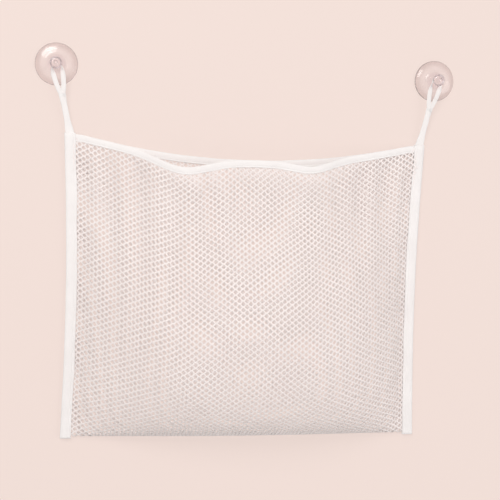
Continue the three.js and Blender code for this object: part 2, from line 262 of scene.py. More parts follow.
def net_point(place, along):
    """A point of the one folded net: along runs from -1 at the back rim's tape, over 0 at the
    fold, to 1 at the front rim's tape, and a little past both ends inside the tapes."""
    inner = clamp(place, -1, 1)
    if along <= 0:
        height = FOLD - along * (back_rim_height(inner) - RIM_TAPE_WIDTH - FOLD)
        ripple = swell(place, along, RIPPLE_GRAIN)
        free = (1 - inner * inner) * smooth(-along, 0, RIPPLE_FOLD_SHARE)
        depth = BACK_DEPTH + max(0, RIPPLE_HEIGHT * ripple * free)
    else:
        lengths, points = front_profile(inner)
        total = lengths[-1]
        reach = min(along, 1) * total
        depth = float(np.interp(reach, lengths, points[:, 0]))
        height = float(np.interp(reach, lengths, points[:, 1])) + max(0, along - 1) * total
        depth += front_relief(inner, min(along, 1), total)
    depth += (SEAM_DEPTH - depth) * PINCH_SHARE * seam_pinch(place, height)
    return Vector((place * open_half(height), -depth, height))


def put(name, mesh):
    piece = bpy.data.objects.new(name, mesh)
    bpy.context.scene.collection.objects.link(piece)
    return piece


def netting_cells(name, first_row, last_row, row_share):
    """A sheet of whole six-sided cells, one for each opening, staggered like a honeycomb.
    Rows are counted in half cells from the fold, and row_share turns one into a place along."""
    columns = OPENINGS_ACROSS + round(2 * OPENINGS_IN_SIDE_TAPE)
    points = []
    numbers = {}

    def corner(column, row, side):
        key = (column, row, side)
        if key not in numbers:
            place = (column + side * JOINT_SHARE) / OPENINGS_ACROSS
            numbers[key] = len(points)
            points.append(tuple(net_point(place, row * row_share(row))))
        return numbers[key]

    faces = []
    for row in range(first_row, last_row + 1):
        for column in range(-columns, columns + 1):
            if (row + column) % 2 == 0:
                faces.append(
                    (
                        corner(column - 1, row, 1),
                        corner(column, row - 1, -1),
                        corner(column, row - 1, 1),
                        corner(column + 1, row, -1),
                        corner(column, row + 1, 1),
                        corner(column, row + 1, -1),
                    )
                )
    mesh = bpy.data.meshes.new(name)
    mesh.from_pydata(points, [], faces)
    mesh.update()
    return put(name, mesh)


# Nodes

def node(tree, kind, label="", **settings):
    made = tree.nodes.new(kind)
    made.label = label
    for key, value in settings.items():
        setattr(made, key, value)
    return made


def plug(value, socket):
    """Sets a socket to a value, or links it to another node's output."""
    if isinstance(value, bpy.types.NodeSocket):
        socket.id_data.links.new(value, socket)
    else:
        socket.default_value = value


def dial(made, **inputs):
    """Plugs a node's inputs by name, with an underscore for each space, and gives the node back."""
    for label, value in inputs.items():
        plug(value, made.inputs[label.replace("_", " ")])
    return made


def math_node(tree, operation, *values, clamp_it=False):
    made = node(tree, "ShaderNodeMath", operation=operation, use_clamp=clamp_it)
    for value, socket in zip(values, made.inputs):
        plug(value, socket)
    return made.outputs[0]


def random_value(tree, label, low, high, seed):
    """A random number from low to high. Its sockets come after those of a random vector."""
    made = dial(node(tree, "FunctionNodeRandomValue", label, data_type="FLOAT"), Seed=seed)
    plug(low, made.inputs[2])
    plug(high, made.inputs[3])
    return made.outputs[1]


def new_tree(name, kind, inputs, outputs):
    """A tree of its own with named sockets: inputs (name, kind, value) and outputs (name, kind)."""
    tree = bpy.data.node_groups.new(name, kind)
    for label, socket_kind, value in inputs:
        socket = tree.interface.new_socket(label, in_out="INPUT", socket_type=socket_kind)
        if value is not None:
            socket.default_value = value
    for label, socket_kind in outputs:
        tree.interface.new_socket(label, in_out="OUTPUT", socket_type=socket_kind)
    return tree, node(tree, "NodeGroupInput").outputs, node(tree, "NodeGroupOutput").inputs


# Geometry Nodes trees: the net's openings, and the stitches

def geometry_tree(name, inputs):
    mesh_in = ("Geometry", "NodeSocketGeometry", None)
    finish_in = ("Material", "NodeSocketMaterial", None)
    mesh_out = ("Geometry", "NodeSocketGeometry")
    return new_tree(name, "GeometryNodeTree", [mesh_in, *inputs, finish_in], [mesh_out])


def end_tree(tree, geometry, finish, out):
    """Every tree ends as one plain mesh, shaded smooth, in its material."""
    realize = dial(node(tree, "GeometryNodeRealizeInstances"), Geometry=geometry)
    shade = dial(node(tree, "GeometryNodeSetShadeSmooth"), Geometry=realize.outputs["Geometry"])
    paint = node(tree, "GeometryNodeSetMaterial")
    dial(paint, Geometry=shade.outputs["Geometry"], Material=finish)
    plug(paint.outputs["Geometry"], out["Geometry"])


def netting_tree():
    """Opens each cell of a sheet, and gives the strands that are left their thickness."""
    tree, given, out = geometry_tree(
        "knit_openings",
        [
            ("Opening Share", "NodeSocketFloat", OPENING_SHARE),
            ("Opening Spread", "NodeSocketFloat", OPENING_SPREAD),
            ("Thickness", "NodeSocketFloat", NET_THICKNESS),
        ],
    )
    inset = node(tree, "GeometryNodeExtrudeMesh", "a second outline in each cell", mode="FACES")
    dial(inset, Mesh=given["Geometry"], Offset_Scale=0, Individual=True)

    least = math_node(tree, "SUBTRACT", given["Opening Share"], given["Opening Spread"])
    most = math_node(tree, "ADD", given["Opening Share"], given["Opening Spread"])
    uneven = random_value(tree, "no two openings quite alike", least, most, OPENING_SEED)
    draw_in = node(tree, "GeometryNodeScaleElements", domain="FACE")
    dial(draw_in, Geometry=inset.outputs["Mesh"], Selection=inset.outputs["Top"], Scale=uneven)
    hole = node(tree, "GeometryNodeDeleteGeometry", "the opening", domain="FACE")
    dial(hole, Geometry=draw_in.outputs["Geometry"], Selection=inset.outputs["Top"])

    thick = node(tree, "GeometryNodeExtrudeMesh", "strands", mode="FACES")
    dial(thick, Mesh=hole.outputs["Geometry"], Offset_Scale=given["Thickness"], Individual=False)
    under = dial(node(tree, "GeometryNodeFlipFaces"), Mesh=hole.outputs["Geometry"])
    both = node(tree, "GeometryNodeJoinGeometry")
    for skin in (thick, under):
        plug(skin.outputs["Mesh"], both.inputs["Geometry"])
    closed = node(tree, "GeometryNodeMergeByDistance")
    dial(closed, Geometry=both.outputs["Geometry"], Distance=MERGE_DISTANCE)
    end_tree(tree, closed.outputs["Geometry"], given["Material"], out)
    return tree


SEAM_PITCH = 0.0026
SEAM_STITCH_SHARE = 0.86
SEAM_THREAD = 0.00042
STITCH_PULL_SHARES = (0.92, 1.06)
STITCH_SEED = 4


def stitch_tree():
    """Lays stitches end to end along every line of a sketch."""
    tree, given, out = geometry_tree(
        "stitches_on_lines",
        [
            ("Pitch", "NodeSocketFloat", SEAM_PITCH),
            ("Length Share", "NodeSocketFloat", SEAM_STITCH_SHARE),
            ("Thread", "NodeSocketFloat", SEAM_THREAD),
        ],
    )
    line = dial(node(tree, "GeometryNodeMeshToCurve"), Mesh=given["Geometry"])
    even = node(tree, "GeometryNodeResampleCurve", mode="LENGTH")
    dial(even, Curve=line.outputs["Curve"], Length=given["Pitch"])
    along = node(tree, "GeometryNodeInputTangent")
    turn = node(tree, "FunctionNodeAlignRotationToVector", axis="X")
    dial(turn, Vector=along.outputs["Tangent"])

    length = math_node(tree, "MULTIPLY", given["Pitch"], given["Length Share"])
    size = dial(node(tree, "ShaderNodeCombineXYZ"), X=length, Y=given["Thread"], Z=given["Thread"])
    pull = random_value(tree, "some stitches are pulled tighter", *STITCH_PULL_SHARES, STITCH_SEED)
    uneven = dial(node(tree, "ShaderNodeVectorMath", operation="SCALE"), Scale=pull)
    plug(size.outputs["Vector"], uneven.inputs[0])

    bead = dial(node(tree, "GeometryNodeMeshUVSphere", "one stitch"), Segments=6, Rings=5, Radius=0.5)
    upright = node(tree, "GeometryNodeTransform")
    dial(upright, Geometry=bead.outputs["Mesh"], Rotation=(0, math.pi / 2, 0))
    lay = node(tree, "GeometryNodeInstanceOnPoints")
    dial(lay, Points=even.outputs["Curve"], Instance=upright.outputs["Geometry"])
    dial(lay, Rotation=turn.outputs["Rotation"], Scale=uneven.outputs["Vector"])
    end_tree(tree, lay.outputs["Instances"], given["Material"], out)
    return tree


def grow(piece, tree, values):
    """Runs a tree on a piece with named inputs, and keeps the result as the piece's plain mesh."""
    modifier = piece.modifiers.new(tree.name, "NODES")
    modifier.node_group = tree
    for socket in tree.interface.items_tree:
        if socket.in_out == "INPUT" and socket.name in values:
            modifier[socket.identifier] = values[socket.name]
    ready = piece.evaluated_get(bpy.context.evaluated_depsgraph_get())
    mesh = bpy.data.meshes.new_from_object(ready)
    piece.modifiers.clear()
    bare = piece.data
    piece.data = mesh
    bpy.data.meshes.remove(bare)
    mesh.name = piece.name
    # A mesh that had no material leaves an empty slot before the tree's own
    while mesh.materials[0] is None:
        mesh.materials.pop(index=0)


# What the finishes share

def mixed_colour(tree, share, first, second):
    """A mix of two colours. Its sockets come after those for numbers and vectors."""
    made = node(tree, "ShaderNodeMix", data_type="RGBA")
    for place, value in ((0, share), (6, first), (7, second)):
        plug(value, made.inputs[place])
    return made.outputs[2]


def mix_shaders(tree, share, first, second, end):
    """Ends a tree in a mix of two shaders."""
    made = node(tree, "ShaderNodeMixShader")
    for value, socket in zip((share, first.outputs[0], second.outputs[0]), made.inputs):
        plug(value, socket)
    plug(made.outputs[0], tree.nodes[end].inputs["Surface"])


def noise_node(tree, vector, **inputs):
    made = node(tree, "ShaderNodeTexNoise", noise_dimensions="3D")
    return dial(made, Vector=vector, **inputs).outputs["Fac"]


def axes(tree, vector):
    return dial(node(tree, "ShaderNodeSeparateXYZ"), Vector=vector).outputs


def cloth_tree(name, size_name, size):
    """A tree that turns a place and one size of a cloth into its relief and its shade."""
    return new_tree(
        name,
        "ShaderNodeTree",
        [("Vector", "NodeSocketVector", (0, 0, 0)), (size_name, "NodeSocketFloat", size)],
        [("Height", "NodeSocketFloat"), ("Shade", "NodeSocketFloat")],
    )


def with_fibres(tree, vector, height, share, **inputs):
    """A cloth's relief with loose fibres over it."""
    loose = math_node(tree, "MULTIPLY", noise_node(tree, vector, **inputs), share)
    return math_node(tree, "ADD", height, loose)


BINDING_THREAD = 0.0006
STRAP_THREAD = 0.0005
WEAVE_CROSS_SHARE = 0.45
WEAVE_FIBRE_SHARE = 0.3
WEAVE_SHADE_SHARE = 0.35
WEAVE_SHADE_BASE = 0.5


def weave_group():
    """Plain weave on a tape's own map, whose units are metres along and across it."""
    tree, given, out = cloth_tree("plain_weave", "Thread", BINDING_THREAD)
    spread = axes(tree, given["Vector"])
    waves = []
    for axis in ("X", "Y"):
        threads = math_node(tree, "DIVIDE", spread[axis], given["Thread"])
        waves.append(math_node(tree, "SINE", math_node(tree, "MULTIPLY", threads, math.pi)))
    cross = math_node(tree, "MULTIPLY", math_node(tree, "MULTIPLY", *waves), WEAVE_CROSS_SHARE)
    height = math_node(tree, "ADD", cross, math_node(tree, "ABSOLUTE", waves[1]))
    rough = with_fibres(tree, given["Vector"], height, WEAVE_FIBRE_SHARE, Scale=5200, Detail=2)
    plug(rough, out["Height"])
    # Painted shade: the tape's finish darkens where the threads dip
    shade = (height, WEAVE_SHADE_SHARE, WEAVE_SHADE_BASE)
    plug(math_node(tree, "MULTIPLY_ADD", *shade), out["Shade"])
    return tree


KNIT_LOOP = 0.0007
KNIT_LEAN = 1.4
KNIT_FIBRE_SHARE = 0.7
KNIT_SHADE_SHARE = 0.6
KNIT_SHADE_BASE = 0.3


def knit_group():
    """Rows of knitted loops, drawn as chevrons, on a yarn that is only a few loops wide. They
    follow the net down its front and on under the belly, so depth counts as height there."""
    tree, given, out = cloth_tree("knitted_loops", "Loop", KNIT_LOOP)
    spread = axes(tree, given["Vector"])
    down = math_node(tree, "SUBTRACT", spread["Z"], spread["Y"])
    rows = math_node(tree, "DIVIDE", down, given["Loop"])
    columns = math_node(tree, "DIVIDE", spread["X"], given["Loop"])
    lean = math_node(tree, "MULTIPLY", math_node(tree, "PINGPONG", columns, 0.5), KNIT_LEAN)
    slant = math_node(tree, "MULTIPLY", math_node(tree, "ADD", rows, lean), math.pi)
    loops = math_node(tree, "ABSOLUTE", math_node(tree, "SINE", slant))
    height = with_fibres(tree, given["Vector"], loops, KNIT_FIBRE_SHARE, Scale=4200, Detail=3)
    plug(height, out["Height"])
    # Painted shade: the net's finish darkens where the loops dip
    shade = (height, KNIT_SHADE_SHARE, KNIT_SHADE_BASE)
    plug(math_node(tree, "MULTIPLY_ADD", *shade, clamp_it=True), out["Shade"])
    return tree


MOTTLE_LOW = 0.35
MOTTLE_HIGH = 0.75


def mottle_group():
    """A slow change over a surface, from clean to slightly greyed, as use in a bath leaves it."""
    tree, given, out = new_tree(
        "bath_mottle",
        "ShaderNodeTree",
        [
            ("Vector", "NodeSocketVector", (0, 0, 0)),
            ("Scale", "NodeSocketFloat", 18),
            ("Clean", "NodeSocketColor", (1, 1, 1, 1)),
            ("Greyed", "NodeSocketColor", (0.9, 0.9, 0.9, 1)),
        ],
        [("Color", "NodeSocketColor"), ("Fac", "NodeSocketFloat")],
    )
    cloud = noise_node(tree, given["Vector"], Scale=given["Scale"], Detail=4, Roughness=0.6)
    ramp = node(tree, "ShaderNodeMapRange")
    dial(ramp, Value=cloud, From_Min=MOTTLE_LOW, From_Max=MOTTLE_HIGH)
    share = ramp.outputs["Result"]
    plug(mixed_colour(tree, share, given["Clean"], given["Greyed"]), out["Color"])
    plug(share, out["Fac"])
    return tree


WEAVE = weave_group()
KNIT = knit_group()
MOTTLE = mottle_group()


def material(name):
    made = bpy.data.materials.new(name)
    made.use_nodes = True
    tree = made.node_tree
    return made, tree, tree.nodes["Principled BSDF"]


def group_node(tree, group, **values):
    return dial(node(tree, "ShaderNodeGroup", node_tree=group), **values).outputs


def bump(tree, surface, height, strength, distance):
    made = dial(node(tree, "ShaderNodeBump"), Height=height, Strength=strength, Distance=distance)
    dial(surface, Normal=made.outputs["Normal"])


GREYED_ROUGHNESS = 0.12


def worn_roughness(tree, tone, clean):
    """The roughness of a clean finish, and a little more where it is greyed."""
    return math_node(tree, "MULTIPLY_ADD", tone["Fac"], GREYED_ROUGHNESS, clean)


# Finishes

# The net's own white, clean and a little greyed, with a painted pink cast of the light that the wall
# throws back onto it
NET_CLEAN_WITH_WALL_LIGHT = (0.94, 0.865, 0.846, 1)
NET_GREYED_WITH_WALL_LIGHT = (0.9, 0.816, 0.797, 1)
# Painted shade in the dips between the knitted loops
NET_LOOP_SHADE = (0.81, 0.732, 0.713, 1)


def netting_finish():
    made, tree, surface = material("white_knitted_net")
    place = node(tree, "ShaderNodeTexCoord").outputs["Object"]
    # The net's tone carries a painted pink cast of light from the wall
    tone = group_node(tree, MOTTLE, Vector=place, Scale=14, Clean=NET_CLEAN_WITH_WALL_LIGHT, Greyed=NET_GREYED_WITH_WALL_LIGHT)
    yarn = group_node(tree, KNIT, Vector=place, Loop=KNIT_LOOP)
    bump(tree, surface, yarn["Height"], strength=0.45, distance=0.00014)
    dial(
        surface,
        # Painted shade darkens the colour between the loops
        Base_Color=mixed_colour(tree, yarn["Shade"], NET_LOOP_SHADE, tone["Color"]),
        Roughness=0.7,
        Sheen_Weight=0.3,
        Sheen_Roughness=0.5,
        Specular_IOR_Level=0.35,
    )
    return made


TAPE_CLEAN = (0.94, 0.905, 0.895, 1)
TAPE_GREYED = (0.89, 0.848, 0.838, 1)
# Painted shade in the dips between the woven threads
TAPE_THREAD_SHADE = (0.84, 0.8, 0.79, 1)


def tape_finish(name, thread):
    made, tree, surface = material(name)
    maps = node(tree, "ShaderNodeTexCoord").outputs
    place = maps["Object"]
    tone = group_node(tree, MOTTLE, Vector=place, Scale=30, Clean=TAPE_CLEAN, Greyed=TAPE_GREYED)
    weave = group_node(tree, WEAVE, Vector=maps["UV"], Thread=thread)
    bump(tree, surface, weave["Height"], strength=0.5, distance=0.00018)
    dial(
        surface,
        # Painted shade darkens the colour between the threads
        Base_Color=mixed_colour(tree, weave["Shade"], TAPE_THREAD_SHADE, tone["Color"]),
        Roughness=worn_roughness(tree, tone, 0.68),
        Sheen_Weight=0.2,
        Sheen_Roughness=0.45,
    )
    return made


THREAD_CLEAN = (0.95, 0.945, 0.94, 1)
THREAD_GREYED = (0.86, 0.85, 0.845, 1)
THREAD_TWISTS = 900


def thread_finish():
    made, tree, surface = material("white_sewing_thread")
    place = node(tree, "ShaderNodeTexCoord").outputs["Object"]
    tone = group_node(tree, MOTTLE, Vector=place, Scale=60, Clean=THREAD_CLEAN, Greyed=THREAD_GREYED)
    twist = node(tree, "ShaderNodeTexWave", wave_type="BANDS", bands_direction="DIAGONAL")
    dial(twist, Vector=place, Scale=THREAD_TWISTS)
    bump(tree, surface, twist.outputs["Fac"], strength=0.5, distance=0.0001)
    dial(surface, Base_Color=tone["Color"], Roughness=0.5, Sheen_Weight=0.1)
    return made


VINYL_CLEAN = (0.93, 0.91, 0.915, 1)
VINYL_GREYED = (0.87, 0.845, 0.855, 1)
# Painted shade in the ring towards the cup's rim
VINYL_RIM_SHADE = (0.78, 0.73, 0.73, 1)
VINYL_THICK = (0.84, 0.79, 0.81, 1)
VINYL_SHADOW = (0.93, 0.89, 0.89, 1)
RIM_SHADE_SHARES = (0.6, 0.95)
THICK_MIDDLE_SHARES = (0.48, 0.3)


def ring_share(tree, radius, shares):
    """0 at the first share of the cup's radius and 1 at the second, with a soft turn between."""
    made = node(tree, "ShaderNodeMapRange", interpolation_type="SMOOTHSTEP")
    dial(made, Value=radius, From_Min=shares[0] * CUP_RADIUS, From_Max=shares[1] * CUP_RADIUS)
    return made.outputs["Result"]


def vinyl_finish():
    """Clear vinyl, with painted shade that darkens it a little in the ring towards its rim, which is
    pressed flat to the wall, and greyer in the middle, where it is thickest."""
    made, tree, surface = material("clear_soft_vinyl")
    place = node(tree, "ShaderNodeTexCoord").outputs["Object"]
    tone = group_node(tree, MOTTLE, Vector=place, Scale=55, Clean=VINYL_CLEAN, Greyed=VINYL_GREYED)
    spread = axes(tree, place)
    aside = math_node(tree, "SUBTRACT", math_node(tree, "ABSOLUTE", spread["X"]), CUP_ACROSS)
    squares = [math_node(tree, "MULTIPLY", way, way) for way in (aside, spread["Z"])]
    radius = math_node(tree, "SQRT", math_node(tree, "ADD", *squares))
    # Painted shade darkens the vinyl towards its rim
    tint = mixed_colour(tree, ring_share(tree, radius, RIM_SHADE_SHARES), tone["Color"], VINYL_RIM_SHADE)
    tint = mixed_colour(tree, ring_share(tree, radius, THICK_MIDDLE_SHARES), tint, VINYL_THICK)
    flow = noise_node(tree, place, Scale=160, Detail=2)
    bump(tree, surface, flow, strength=0.05, distance=0.0002)
    dial(
        surface,
        Base_Color=tint,
        Roughness=worn_roughness(tree, tone, 0.1),
        Transmission_Weight=0.96,
        IOR=1.48,
    )
    lit = node(tree, "ShaderNodeBsdfTransparent", "lamps shine through to the wall")
    dial(lit, Color=VINYL_SHADOW)
    shadow = node(tree, "ShaderNodeLightPath").outputs["Is Shadow Ray"]
    mix_shaders(tree, shadow, surface, lit, "Material Output")
    return made


net_white = netting_finish()
binding_white = tape_finish("white_binding_tape", BINDING_THREAD)
strap_white = tape_finish("white_strap_tape", STRAP_THREAD)
thread_white = thread_finish()
clear_vinyl = vinyl_finish()


# Lofted strips, each with a map in metres: along its length and across its outline

def loft(name, rings, finish, lengths, widths):
    """A closed solid through rings of points. lengths gives each ring's distance along, and
    widths gives each point's distance across, for the weave."""
    mesh = bpy.data.meshes.new(name)
    body = bmesh.new()
    grid = [[body.verts.new(p) for p in ring] for ring in rings]
    layer = body.loops.layers.uv.new("tape")
    count = len(rings[0])
    for i in range(len(grid) - 1):
        for k in range(count):
            after = (k + 1) % count
            face = body.faces.new((grid[i][k], grid[i][after], grid[i + 1][after], grid[i + 1][k]))
            across = (widths[k], widths[k + 1], widths[k + 1], widths[k])
            along = (lengths[i], lengths[i], lengths[i + 1], lengths[i + 1])
            for loop, u, v in zip(face.loops, across, along):
                loop[layer].uv = (u, v)
    for ring, along in ((grid[0], lengths[0]), (grid[-1], lengths[-1])):
        face = body.faces.new(ring)
        for loop, u in zip(face.loops, widths):
            loop[layer].uv = (u, along)
    finish_mesh(body, mesh, finish)
    return put(name, mesh)


def finish_mesh(body, mesh, finish):
    """Writes a bmesh to a mesh with its faces outwards and shaded smooth, in its material."""
    bmesh.ops.recalc_face_normals(body, faces=body.faces)
    for face in body.faces:
        face.smooth = True
    body.to_mesh(mesh)
    body.free()
    mesh.materials.append(finish)


def running_lengths(points):
    lengths = [0]
    for a, b in zip(points, points[1:]):
        lengths.append(lengths[-1] + (b - a).length)
    return lengths


def ring_widths(rings):
    """Distances round the middle ring, back to its first point."""
    middle = rings[len(rings) // 2]
    return running_lengths(middle + middle[:1])


def stations(low, high, step):
    count = round((high - low) / step)
    return [low + (high - low) * i / count for i in range(count + 1)]


# A folded tape's outline, as shares: how far in from the fold, and how far through. The ply
# is drawn in where it is stitched, and its cut edge stands off again.
STITCH_SHARES = (0.81, 0.74)
CUT_EDGE_SHARES = ((1.0, 0.92), (0.93, 0.98), (0.86, 0.9))
FACE_SHARES = ((0.76, 0.9), (0.62, 1.06), (0.42, 1.1), (0.22, 1.0), (0.09, 0.78))
FOLD_SHARES = (0.02, 0.42)
PLY_SHARES = (*CUT_EDGE_SHARES, STITCH_SHARES, *FACE_SHARES, FOLD_SHARES)
LINER_SHARES = ((0.12, 0.6), (0.42, 1.0), (0.81, 0.64), (1.0, 0.82))


def folded_outline(width):
    """(through share, in, is it the inner face) round a folded tape, from one cut edge to the
    other and back inside."""
    outside = [(share, inward * width, False) for inward, share in PLY_SHARES]
    outside += [(-share, inward * width, False) for inward, share in reversed(PLY_SHARES)]
    inside = [(-share, inward * width, True) for inward, share in reversed(LINER_SHARES)]
    inside += [(share, inward * width, True) for inward, share in LINER_SHARES]
    return outside + inside


def tape(name, places, point, width, half_thickness):
    """A folded tape along places. point(place, through, in) is a place in the bag's frame."""
    outline = folded_outline(width)
    rings = []
    for place in places:
        half = half_thickness(place)
        ring = []
        for share, inward, inside in outline:
            ply = TAPE_THICKNESS if inside else 0
            through = share * half - math.copysign(ply, share)
            ring.append(point(place, through, inward))
        rings.append(ring)
    lengths = running_lengths([ring[0] for ring in rings])
    return loft(name, rings, binding_white, lengths, ring_widths(rings))


# The small unevenness that sewing leaves in a tape, slow and quick
WAVER_HEIGHT = 0.0006
SLOW_GRAIN = (28, 1, 0.3)
QUICK_GRAIN = (95, 1, 4.7)
QUICK_SHARE = 0.45


def waver(along, seed):
    """The unevenness at a distance along a tape. Each tape has a seed of its own."""
    quick = swell(along, seed, QUICK_GRAIN)
    return WAVER_HEIGHT * (swell(along, seed, SLOW_GRAIN) + QUICK_SHARE * quick)


# Side tapes: the folded edge is steadier than the stitched one, and neither bends out at the
# corner
STATION_STEP = 0.0013
SIDE_TOP_HALF = 0.0027
SIDE_HALF = 0.0018
SIDE_THINS = (0.004, 0.035)
SIDE_TOP_END_SHARE = 0.42
SIDE_LOW_END_SHARE = 0.35
SIDE_SEED = 3.1
SIDE_LOOSE_SHARE = 0.3
SIDE_STEADY_SHARE = 0.3
SIDE_EDGE_SHARE = 0.3
SIDE_WIDTH_SHARE = 0.05
CORNER_HOLD = 0.03


def side_half_thickness(z):
    """The side tape is fuller at its top, where it takes in both rims, and drawn in at its ends."""
    full = 1 - smooth(CORNER - z, *SIDE_THINS)
    low_end = 1 - SIDE_LOW_END_SHARE * smooth(FOLD - z, 0, SIDE_TAPE_OVERHANG)
    below = clamp((CORNER - z) / SIDE_TOP_HALF, 0, 1)
    top_end = SIDE_TOP_END_SHARE + (1 - SIDE_TOP_END_SHARE) * math.sqrt(below * (2 - below))
    return (SIDE_HALF + (SIDE_TOP_HALF - SIDE_HALF) * full) * low_end * top_end


def side_tape_point(side):
    def point(z, through, inward):
        drift = waver(z, side * SIDE_SEED)
        loose = smooth(inward, SIDE_LOOSE_SHARE * SIDE_TAPE_WIDTH, SIDE_TAPE_WIDTH)
        wider = 1 + SIDE_WIDTH_SHARE * drift / WAVER_HEIGHT * loose
        held = smooth(CORNER - z, 0, CORNER_HOLD)
        bend = drift * held * (SIDE_STEADY_SHARE + (1 - SIDE_STEADY_SHARE) * loose)
        x = outer_half(z) - inward * wider - SIDE_EDGE_SHARE * drift
        return Vector((side * x, -(SEAM_DEPTH + through + bend), z))

    return point


# Rim tapes: their ends go into the side tapes, which press both rims together
RIM_HALF = 0.00125
RIM_END_SHARE = 1.03
RIM_END_DROP = 0.0012
RIM_PRESSED_SHARES = (0.955, 1.01)
RIM_THIN_SHARE = 0.28
RIM_PRESS_SHARE = 0.4
RIM_STEADY_SHARE = 0.4
RIM_LIFT_SHARE = 0.5
RIM_WAVER_POWER = 6
RIM_STEP_SHARE = 0.004
RIM_STITCHED_SHARE = 0.995
BACK_RIM_SEED = 1.7
FRONT_RIM_SEED = 8.2


def rim_end(share):
    """How far a place is into the pressed end of a rim."""
    return smooth(abs(share), *RIM_PRESSED_SHARES)


def rim_half_thickness(share):
    return RIM_HALF * (1 - RIM_THIN_SHARE * rim_end(share))


def rim_tape_point(height, depth, seed):
    def middle(share, level):
        rim_depth = depth(clamp(share, -1, 1))
        pressed = rim_depth + (SEAM_DEPTH - rim_depth) * RIM_PRESS_SHARE * rim_end(share)
        return Vector((share * open_half(level), -pressed, level))

    def point(share, through, inward):
        inner = clamp(share, -1, 1)
        drift = waver(share * BAG_HALF, seed) * (1 - abs(inner) ** RIM_WAVER_POWER)
        level = height(inner) - inward - RIM_END_DROP * rim_end(share)
        ahead = middle(min(share + RIM_STEP_SHARE, RIM_END_SHARE), level)
        behind = middle(max(share - RIM_STEP_SHARE, -RIM_END_SHARE), level)
        along = ahead - behind
        out = Vector((along.y, -along.x, 0)).normalized()
        loose = inward / RIM_TAPE_WIDTH
        bend = drift * (RIM_STEADY_SHARE + (1 - RIM_STEADY_SHARE) * loose)
        spot = middle(share, level) + out * (through + bend)
        spot.z += RIM_LIFT_SHARE * drift
        return spot

    return point


def sketch(name, lines):
    """Lines of stitches, drawn as edges, on which the tree lays the thread."""
    mesh = bpy.data.meshes.new(name)
    points = []
    edges = []
    for line in lines:
        first = len(points)
        points.extend(tuple(p) for p in line)
        edges.extend((first + i, first + i + 1) for i in range(len(line) - 1))
    mesh.from_pydata(points, edges, [])
    return put(name, mesh)


knit_openings = netting_tree()
stitches_on_lines = stitch_tree()

# The net, in two pieces that meet along the fold
back_netting = netting_cells(
    "back_netting",
    -2 * (OPENINGS_UP_BACK + OPENINGS_IN_RIM_TAPE) + 1,
    -1,
    lambda row: 1 / (2 * OPENINGS_UP_BACK),
)
front_netting = netting_cells(
    "front_netting",
    0,
    2 * (OPENINGS_UP_FRONT + OPENINGS_IN_RIM_TAPE) - 1,
    lambda row: 1 / (2 * (OPENINGS_UP_FRONT if row > 0 else OPENINGS_UP_BACK)),
)
for netting in (back_netting, front_netting):
    grow(netting, knit_openings, {"Thickness": NET_THICKNESS, "Material": net_white})

# The tapes and their seams. Each face has one line of stitches along it, and a side tape has
# another one across its lower end, which closes it.
CLOSING_RISE = 0.0025
CLOSING_HEIGHT = FOLD - SIDE_TAPE_OVERHANG + CLOSING_RISE
STITCH_IN_SHARE, STITCH_LIE_SHARE = STITCH_SHARES

side_places = stations(FOLD - SIDE_TAPE_OVERHANG, CORNER, STATION_STEP)
rim_places = stations(-RIM_END_SHARE, RIM_END_SHARE, STATION_STEP / open_half(CORNER))
stitched_places = [share for share in rim_places if abs(share) < RIM_STITCHED_SHARE]
side_points = {name: side_tape_point(side) for name, side in SIDES.items()}
rim_points = {
    "back": rim_tape_point(back_rim_height, lambda place: BACK_DEPTH, BACK_RIM_SEED),
    "front": rim_tape_point(front_rim_height, front_rim_depth, FRONT_RIM_SEED),
}
tapes = {}
lines = []
for name, point in side_points.items():
    tapes[name] = tape(f"{name}_side_tape", side_places, point, SIDE_TAPE_WIDTH, side_half_thickness)
    inward = STITCH_IN_SHARE * SIDE_TAPE_WIDTH
    for face in (-1, 1):
        lie = STITCH_LIE_SHARE * face
        lines.append([point(z, lie * side_half_thickness(z), inward) for z in side_places[1:-1]])
        shut = face * side_half_thickness(CLOSING_HEIGHT)
        across = [
            point(CLOSING_HEIGHT, through_share * shut, in_share * SIDE_TAPE_WIDTH)
            for in_share, through_share in (STITCH_SHARES, *FACE_SHARES)
        ]
        lines.append(across)
for name, point in rim_points.items():
    tapes[name] = tape(f"{name}_rim_tape", rim_places, point, RIM_TAPE_WIDTH, rim_half_thickness)
    inward = STITCH_IN_SHARE * RIM_TAPE_WIDTH
    for face in (-1, 1):
        lie = STITCH_LIE_SHARE * face * RIM_HALF
        lines.append([point(share, lie, inward) for share in stitched_places])
seam_stitches = sketch("seam_stitches", lines)
grow(seam_stitches, stitches_on_lines, {"Material": thread_white})

# Straps: a narrower tape starts inside the top of the side tape, goes up, round the cup's neck
# and down again, and is tacked to itself just below the fork
NECK_RADIUS = 0.004
NECK_MIDDLE_DEPTH = 0.0118
RIBBON_THICKNESS = 0.0008
RIBBON_CLEARANCE = 0.0002
RIBBON_OUTLINE_POINTS = 14
RIBBON_EDGE_POWER = 0.55
RIBBON_FACE_POWER = 0.8
PLY_GAP = 0.00004
FORK_DROP = 0.031
FORK_SPREAD = 0.0013
LEG_WIDTH = 0.0050
LEG_HOLDS = ((0.0042, 0.024), (0.0059, 0.008))
LEG_STEPS = 40
LEG_TWISTS = (0.001, 0.015)
LEG_CROSSES_SHARES = (0.1, 0.5)
NECK_STEPS = 24
STEM_WIDTH = 0.0062
STEM_STEPS = 28
STEM_PARTS_SHARES = (0.66, 1)
STEM_NARROWS_SHARES = (0, 0.42)
STEM_TO_LEG_SHARES = (0.62, 1)
CORNER_WIDTH = 0.0092
FOOT_SEATED = 0.0015
OUTWARD = Vector((0, -1, 0))

StrapFrame = namedtuple("StrapFrame", "neck foot down across out")


